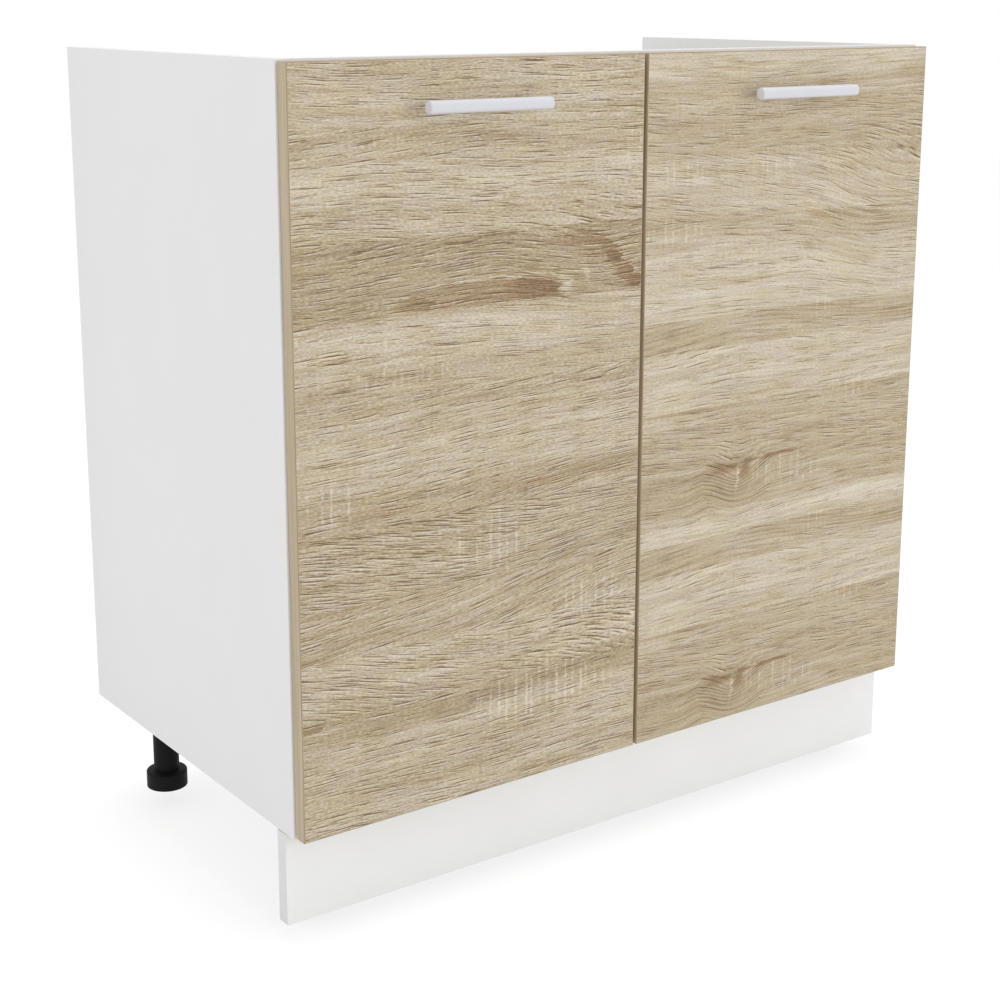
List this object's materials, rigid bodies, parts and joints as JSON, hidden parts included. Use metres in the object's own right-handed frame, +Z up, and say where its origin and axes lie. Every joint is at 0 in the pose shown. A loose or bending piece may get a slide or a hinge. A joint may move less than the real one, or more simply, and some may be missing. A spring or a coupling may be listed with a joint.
{
  "type": "two-door sink base cabinet",
  "caption": "Open-topped base cabinet for a sink, with overlay oak-decor doors on concealed hinges, bar handles, clip-on plinth and screw-adjustable legs.",
  "frame": {"origin": "on the floor, under the centre of the whole object's box", "axes": "+Z up, +Y to the back where the wall is, -Y to the front where the doors are, +X to the right of someone facing the doors"},
  "size_m": [0.8, 0.491, 0.815],
  "materials": {
    "white_board": "white melamine-faced chipboard, fine satin",
    "white_edge_band": "white plastic edge band, satin",
    "oak_decor": "light oak decor foil with fine open-grain relief, matt",
    "oak_edge_band": "tan plastic edge band, matt",
    "handle_white": "white enamelled die-cast metal, semi-gloss",
    "nickel_steel": "nickel-plated pressed steel",
    "zinc_steel": "bright zinc-plated steel",
    "cast_zinc": "raw die-cast zinc",
    "beech": "fluted beech dowel",
    "black_plastic": "moulded black plastic, fine texture",
    "clip_plastic": "moulded light grey plastic",
    "bumper": "clear soft bumper"
  },
  "bodies": {
    "carcass": {"side_panel_left": "white_board", "side_panel_right": "white_board", "bottom_panel": "white_board", "front_rail": "white_board", "rear_rail": "white_board", "side_edge_band_left": "white_edge_band", "side_edge_band_right": "white_edge_band", "bottom_edge_band": "white_edge_band", "cam_bolts": "zinc_steel", "wooden_dowels": "beech", "cam_housings": "cast_zinc", "leg_sleeve_front_left": "black_plastic", "leg_sleeve_rear_left": "black_plastic", "leg_sleeve_front_right": "black_plastic", "leg_sleeve_rear_right": "black_plastic", "leg_screws": "zinc_steel", "hinge_plate_lower_left": "nickel_steel", "hinge_plate_upper_left": "nickel_steel", "hinge_plate_lower_right": "nickel_steel", "hinge_plate_upper_right": "nickel_steel", "hinge_arm_lower_left": "nickel_steel", "hinge_arm_upper_left": "nickel_steel", "hinge_arm_lower_right": "nickel_steel", "hinge_arm_upper_right": "nickel_steel", "hinge_plate_screws": "nickel_steel", "hinge_arm_screws": "nickel_steel"},
    "door_left": {"door_panel_left": "oak_decor", "door_edge_bands_left": "oak_edge_band", "handle_left": "handle_white", "handle_screws_left": "zinc_steel", "door_bumpers_left": "bumper", "hinge_cup_lower_left": "nickel_steel", "hinge_cup_upper_left": "nickel_steel", "cup_screws_left": "nickel_steel", "cup_pins_left": "nickel_steel"},
    "outer_links_left": {"outer_link_lower_left": "nickel_steel", "outer_link_upper_left": "nickel_steel"},
    "inner_links_left": {"inner_link_lower_left": "nickel_steel", "inner_link_upper_left": "nickel_steel"},
    "door_right": {"door_panel_right": "oak_decor", "door_edge_bands_right": "oak_edge_band", "handle_right": "handle_white", "handle_screws_right": "zinc_steel", "door_bumpers_right": "bumper", "hinge_cup_lower_right": "nickel_steel", "hinge_cup_upper_right": "nickel_steel", "cup_screws_right": "nickel_steel", "cup_pins_right": "nickel_steel"},
    "outer_links_right": {"outer_link_lower_right": "nickel_steel", "outer_link_upper_right": "nickel_steel"},
    "inner_links_right": {"inner_link_lower_right": "nickel_steel", "inner_link_upper_right": "nickel_steel"},
    "foot_front_left": {"leg_foot_front_left": "black_plastic"},
    "foot_rear_left": {"leg_foot_rear_left": "black_plastic"},
    "foot_front_right": {"leg_foot_front_right": "black_plastic"},
    "foot_rear_right": {"leg_foot_rear_right": "black_plastic"},
    "plinth": {"plinth_board": "white_board", "plinth_clips": "clip_plastic", "plinth_clip_screws": "zinc_steel"}
  },
  "joints": [
    {"name": "door_left_swing", "type": "hinge", "parent": "carcass", "child": "door_left", "pos_m": [-0.3936, -0.214, 0.455], "axis": [0, 0, -1], "range_deg": [0, 95]},
    {"name": "outer_links_left_turn", "type": "hinge", "parent": "door_left", "child": "outer_links_left", "pos_m": [-0.39162, -0.20522, 0.455], "axis": [0, 0, 1], "range_deg": [0, 130]},
    {"name": "inner_links_left_turn", "type": "hinge", "parent": "door_left", "child": "inner_links_left", "pos_m": [-0.3915, -0.20946, 0.455], "axis": [0, 0, 1], "range_deg": [0, 113]},
    {"name": "door_right_swing", "type": "hinge", "parent": "carcass", "child": "door_right", "pos_m": [0.3936, -0.214, 0.455], "axis": [0, 0, 1], "range_deg": [0, 95]},
    {"name": "outer_links_right_turn", "type": "hinge", "parent": "door_right", "child": "outer_links_right", "pos_m": [0.39162, -0.20522, 0.455], "axis": [0, 0, -1], "range_deg": [0, 130]},
    {"name": "inner_links_right_turn", "type": "hinge", "parent": "door_right", "child": "inner_links_right", "pos_m": [0.3915, -0.20946, 0.455], "axis": [0, 0, -1], "range_deg": [0, 113]},
    {"name": "foot_front_left_adjust", "type": "slide", "parent": "carcass", "child": "foot_front_left", "axis": [0, 0, -1], "range_m": [0, 0.02]},
    {"name": "foot_rear_left_adjust", "type": "slide", "parent": "carcass", "child": "foot_rear_left", "axis": [0, 0, -1], "range_m": [0, 0.02]},
    {"name": "foot_front_right_adjust", "type": "slide", "parent": "carcass", "child": "foot_front_right", "axis": [0, 0, -1], "range_m": [0, 0.02]},
    {"name": "foot_rear_right_adjust", "type": "slide", "parent": "carcass", "child": "foot_rear_right", "axis": [0, 0, -1], "range_m": [0, 0.02]},
    {"name": "plinth_pull", "type": "slide", "parent": "carcass", "child": "plinth", "axis": [0, -1, 0], "range_m": [0, 0.05]}
  ],
  "couplings": [
    {"joint": "outer_links_left_turn", "follows": "door_left_swing", "ratio": 1.3674},
    {"joint": "inner_links_left_turn", "follows": "door_left_swing", "ratio": 1.1798},
    {"joint": "outer_links_right_turn", "follows": "door_right_swing", "ratio": 1.3674},
    {"joint": "inner_links_right_turn", "follows": "door_right_swing", "ratio": 1.1798}
  ]
}
